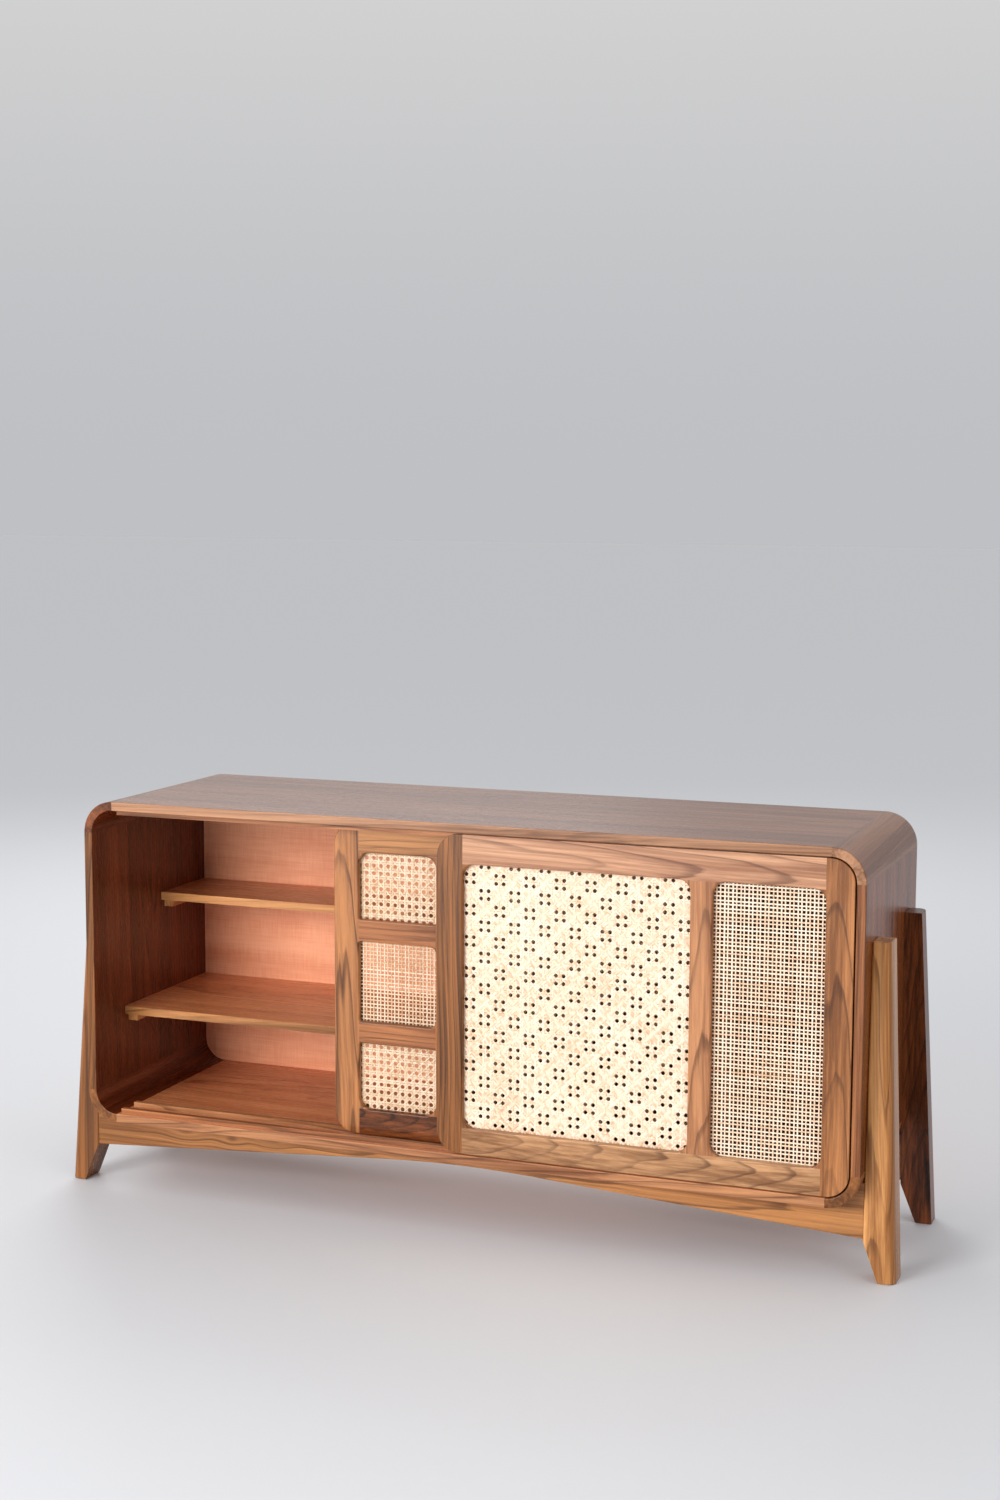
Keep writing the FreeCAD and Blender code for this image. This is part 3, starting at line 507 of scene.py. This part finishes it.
dress("back_panel", plywood("stained_plywood"))
bare = plain("bare_dowel", linear(214, 180, 130), 0.6, 0.6)
dress("corner_dowels", bare)
dress("leg_dowels", bare)
strip_wood = wood("teak_cane_beads", "x_up", "brown")
dress("front_door_cane_beads", strip_wood)
dress("inner_door_cane_beads", strip_wood)
nylon = plain("nylon", linear(228, 226, 218), 0.5, 0.2)
dress("front_door_glides", nylon)
dress("inner_door_glides", nylon)


# ---------------------------------------------------------------- woven cane
PITCH = 0.0127
HALF = PITCH / 2
ROOT = math.sqrt(0.5)
STRAND_THICK = 0.0009
# how far upright and level strands, diagonals and the fill leave the panel's middle plane
LIFT = 0.00048
SLANT_LIFT = 0.0009
FILL_LIFT = 0.0007
# radius of the panels' corners
CORNER = 0.0275
# the shortest strand, and how near to a strand's end it may still bend
SHORTEST = 0.002
END_CLEAR = 0.0008
# strands on each side of the middle, enough to cover any panel
REACH = range(-90, 91)
# the section of a strand: across its width and out of the panel, as shares of its size
PROFILE = ((-0.5, 0.2), (-0.36, -0.38), (0.0, -0.5), (0.36, -0.38), (0.5, 0.2))
CANE = cane_material("peeled_cane", (204, 160, 120), (237, 207, 177), (247, 229, 208))
# painted shade: the same cane made darker for the inner door's small panels
SHADED_CANE = cane_material("shaded_cane", (190, 142, 102), (222, 190, 156), (236, 214, 188))


def inside_span(point, direction, low, high, radius):
    """Where a line enters and leaves a rounded rectangle, as distances along it, or None."""
    start, end = -1e9, 1e9
    for axis in (0, 1):
        if abs(direction[axis]) < 1e-9:
            if not low[axis] < point[axis] < high[axis]:
                return None
            continue
        a = (low[axis] - point[axis]) / direction[axis]
        b = (high[axis] - point[axis]) / direction[axis]
        start, end = max(start, min(a, b)), min(end, max(a, b))
    if end - start < SHORTEST:
        return None
    for corner_x, sign_x in ((low[0] + radius, -1), (high[0] - radius, 1)):
        for corner_z, sign_z in ((low[1] + radius, -1), (high[1] - radius, 1)):
            centre = np.array((corner_x, corner_z))
            nearest = (centre - point) @ direction
            gap = point + nearest * direction - centre
            reach = radius * radius - gap @ gap
            ends = [start, end]
            for which, toward in ((0, -1), (1, 1)):
                at = point + ends[which] * direction
                if sign_x * (at[0] - corner_x) > 0 and sign_z * (at[1] - corner_z) > 0:
                    if reach <= 0:
                        return None
                    ends[which] = nearest + toward * math.sqrt(reach)
            start, end = ends
    return (start, end) if end - start > SHORTEST else None


class Family:
    """Parallel strands of one panel.

    They have a slope in degrees, places across it, a width, places along where they bend, and a
    lift out of the panel that depends on the place in it.
    """

    def __init__(self, angle, offsets, width, bends, lift):
        self.direction = np.array((math.cos(math.radians(angle)), math.sin(math.radians(angle))))
        self.across = np.array((-self.direction[1], self.direction[0]))
        self.offsets = offsets
        self.width = width
        self.bends = bends
        self.lift = lift


def weave(name, node, body, families, cane, scatter=0.00015, swelling=0.07):
    """Flat strands woven over and under each other, filling the place of a cane panel.

    Each strand is shifted by up to the scatter, in metres, and is wider or narrower by a share.
    """
    low3, high3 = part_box(node)
    low, high = np.array((low3.x, low3.z)), np.array((high3.x, high3.z))
    depth = (low3.y + high3.y) / 2
    points, faces, tones = [], [], []
    count = len(PROFILE)
    for family in families:
        for offset in family.offsets:
            shift, swell, tone = rng.uniform(-1, 1, 3)
            base = family.across * (offset + shift * scatter)
            span = inside_span(base, family.direction, low, high, CORNER)
            if span is None:
                continue
            start, end = span
            first, last = start + END_CLEAR, end - END_CLEAR
            inner = sorted(t for t in family.bends(offset) if first < t < last)
            width = family.width * (1 + swelling * swell)
            begin = len(points)
            stops = [start] + inner + [end]
            for t in stops:
                here = base + family.direction * t
                rise = depth + family.lift(*here)
                for side, up in PROFILE:
                    place = here + family.across * side * width
                    points.append((place[0], rise + up * STRAND_THICK, place[1]))
            for ring in range(len(stops) - 1):
                for k in range(count):
                    a = begin + ring * count + k
                    b = begin + ring * count + (k + 1) % count
                    faces.append((a, b, b + count, a + count))
            faces.append(tuple(begin + k for k in reversed(range(count))))
            faces.append(tuple(len(points) - count + k for k in range(count)))
            tones.extend([0.5 + 0.5 * tone] * (len(points) - begin))
    mesh = bpy.data.meshes.new(name)
    mesh.from_pydata(points, [], faces)
    mesh.shade_smooth()
    mesh.attributes.new("strand", "FLOAT", "POINT").data.foreach_set("value", tones)
    panel = bpy.data.objects.new(name, mesh)
    bpy.context.scene.collection.objects.link(panel)
    mesh.materials.append(cane)
    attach(panel, body)
    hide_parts(node)


def rows(origin, shifts, step=PITCH):
    """Places origin + n*step + shift in order, for whole numbers n."""
    return sorted(origin + n * step + shift for n in REACH for shift in shifts)


def wave(place, origin, step):
    """1 at origin, -1 a step further on, and so on."""
    return math.cos(math.pi * (place - origin) / step)


def plain_grid(name, node, body, centre, cane):
    """Strands in loose pairs, woven square, with no diagonals."""
    spread, width = 0.0029, 0.0027
    x0, z0 = centre[0] + spread, centre[1] + spread

    def surface(x, z):
        return LIFT * wave(x, x0, HALF) * wave(z, z0, HALF)

    uprights = Family(
        90,
        rows(-centre[0], (-spread, spread)),
        width,
        lambda offset: rows(centre[1], (-spread, spread)),
        surface,
    )
    levels = Family(
        0,
        rows(centre[1], (-spread, spread)),
        width,
        lambda offset: rows(centre[0], (-spread, spread)),
        lambda x, z: -surface(x, z),
    )
    weave(name, node, body, [uprights, levels], cane, scatter=0.00025, swelling=0.1)


def octagons(hole, pair, width, slant):
    """Upright and level pairs between the holes, and diagonals across the holes' corners."""
    x0, z0 = hole[0] + HALF, hole[1] + HALF

    def side(place, origin):
        """-1 on a pair's first strand and 1 on its second."""
        return -1 if (place - origin + HALF) % PITCH < HALF else 1

    def surface(x, z):
        return LIFT * side(x, x0) * wave(z, z0, PITCH)

    def level_lift(x, z):
        return -LIFT * side(x, x0) * (1 if round((z - z0) / PITCH) % 2 == 0 else -1)

    def rising_lift(x, z):
        """In front where it passes an upright pair, and behind where it passes a level one."""
        return -SLANT_LIFT * wave(x, x0, HALF)

    return [
        Family(90, rows(-x0, (-pair, pair)), width, lambda offset: rows(z0, (0, HALF)), surface),
        Family(
            0,
            rows(z0, (-pair, pair)),
            width,
            lambda offset: rows(x0, (-pair, pair)),
            level_lift,
        ),
        Family(
            45,
            rows((z0 - x0) * ROOT, (HALF * ROOT,), PITCH * ROOT),
            slant,
            lambda offset: [(2 * x0 + n * PITCH) * ROOT + offset for n in REACH],
            rising_lift,
        ),
        Family(
            135,
            rows(-(z0 + x0) * ROOT, (HALF * ROOT,), PITCH * ROOT),
            slant,
            lambda offset: [-(2 * x0 + n * PITCH) * ROOT - offset for n in REACH],
            lambda x, z: -rising_lift(x, z),
        ),
    ]


def open_octagons(name, node, body, hole):
    """The common open weave: one round hole to every pitch."""
    # the small inner panels take the darker cane, which is painted shade
    weave(name, node, body, octagons(hole, 0.0018, 0.0033, 0.0028), SHADED_CANE)


def clustered(name, node, body, centre):
    """The close weave: the holes are left open in fours, and filled in between."""
    hole_x, hole_z = centre[0] + HALF, centre[1] + HALF
    families = octagons((hole_x, hole_z), 0.0017, 0.0034, 0.0032)
    for angle, turn in ((45, 1), (135, -1)):
        middle = (turn * centre[1] - centre[0] + 2 * PITCH) * ROOT
        families.append(
            Family(
                angle,
                rows(middle, (-0.0022, 0.0, 0.0022), 4 * PITCH * ROOT),
                0.0024,
                lambda offset, turn=turn: [
                    turn * (2 * hole_x + n * PITCH) * ROOT + offset * turn for n in REACH
                ],
                lambda x, z, turn=turn: turn * FILL_LIFT * wave(x, hole_x, HALF),
            )
        )
    weave(name, node, body, families, CANE)


# ---------------------------------------------------------------- floor, light and camera
def floor():
    """A wide pale floor, just below the feet."""
    mesh = bpy.data.meshes.new("floor")
    reach = 40.0
    corners = [(x * reach, y * reach, 0) for x, y in ((-1, -1), (1, -1), (1, 1), (-1, 1))]
    mesh.from_pydata(corners, [], [(0, 1, 2, 3)])
    ground = bpy.data.objects.new("floor", mesh)
    bpy.context.scene.collection.objects.link(ground)
    mesh.materials.append(plain("pale_floor", (0.71, 0.73, 0.77, 1.0), 0.6, 0.05))
    ground.location.z = -0.0005


def lamp(name, place, aim, size, watts, colour, mirrored=True):
    """A square soft box at a place, aimed at a point; mirrored if glossy things reflect it."""
    light = bpy.data.lights.new(name, "AREA")
    light.size = size
    light.energy = watts
    light.color = colour
    item = bpy.data.objects.new(name, light)
    bpy.context.scene.collection.objects.link(item)
    item.location = place
    item.rotation_euler = (Vector(aim) - Vector(place)).to_track_quat("-Z", "Y").to_euler()
    item.visible_camera = False
    item.visible_glossy = mirrored


def world():
    """Soft light from all round, brighter overhead, with the floor's colour at the horizon."""
    backdrop = bpy.data.worlds.new("studio")
    bpy.context.scene.world = backdrop
    backdrop.use_nodes = True
    shader = backdrop.node_tree.nodes["Background"]
    s = Shader(backdrop.node_tree)
    height = s.split(s.add("TexCoord").outputs["Generated"])[2]
    above = s.ramp(height, 0.0, 0.35)
    s.feed(shader.inputs["Color"], s.mix(above, (0.61, 0.62, 0.645, 1.0), (0.84, 0.83, 0.82, 1.0)))
    shader.inputs["Strength"].default_value = 0.85


def camera():
    """Three-quarter view from the right and slightly above, with no lens shift."""
    lens = bpy.data.cameras.new("view")
    # millimetres; the sensor's width lies along the picture's taller side
    lens.sensor_width = 36.0
    lens.lens = 53.736
    # far enough for the floor's edge
    lens.clip_end = 200
    item = bpy.data.objects.new("view", lens)
    bpy.context.scene.collection.objects.link(item)
    item.location = (1.3372, -3.4522, 1.2091)
    # turns about the camera's own axes, in degrees
    yaw, pitch, roll = 21.0465, -6.8071, -0.2177
    upright = Euler((math.radians(90), 0, 0)).to_matrix()
    turn = Euler((math.radians(pitch), math.radians(roll), math.radians(yaw)), "YXZ").to_matrix()
    item.rotation_euler = (turn @ upright).to_euler()
    bpy.context.scene.camera = item


# the middle of an open four in the large panels
CLUSTER = (0.0821, 0.584)
clustered("front_large_weave", "front_door_large_cane", "front_door", CLUSTER)
plain_grid("front_narrow_weave", "front_door_narrow_cane", "front_door", (0.440, 0.600), CANE)
open_octagons("inner_top_weave", "inner_door_top_cane", "inner_door", (-0.168, 0.598))
plain_grid("inner_middle_weave", "inner_door_middle_cane", "inner_door", (-0.172, 0.452), SHADED_CANE)
open_octagons("inner_bottom_weave", "inner_door_bottom_cane", "inner_door", (-0.168, 0.282))
clustered("inner_large_weave", "inner_door_large_cane", "inner_door", CLUSTER)

floor()
world()
lamp("key", (-1.9, -5.1, 1.6), (0.0, 0.0, 0.4), 2.4, 250, (1.0, 0.98, 0.95))
# the fill's mirror image would whiten one end of the top when seen from behind
lamp("fill", (4.0, -2.6, 1.6), (0.0, 0.0, 0.35), 1.6, 28, (0.95, 0.97, 1.0), mirrored=False)
lamp("rim", (-1.6, 2.8, 2.8), (-0.2, 0.0, 0.5), 2.0, 38, (1.0, 1.0, 1.0))
camera()
bpy.context.scene.view_settings.view_transform = "Standard"
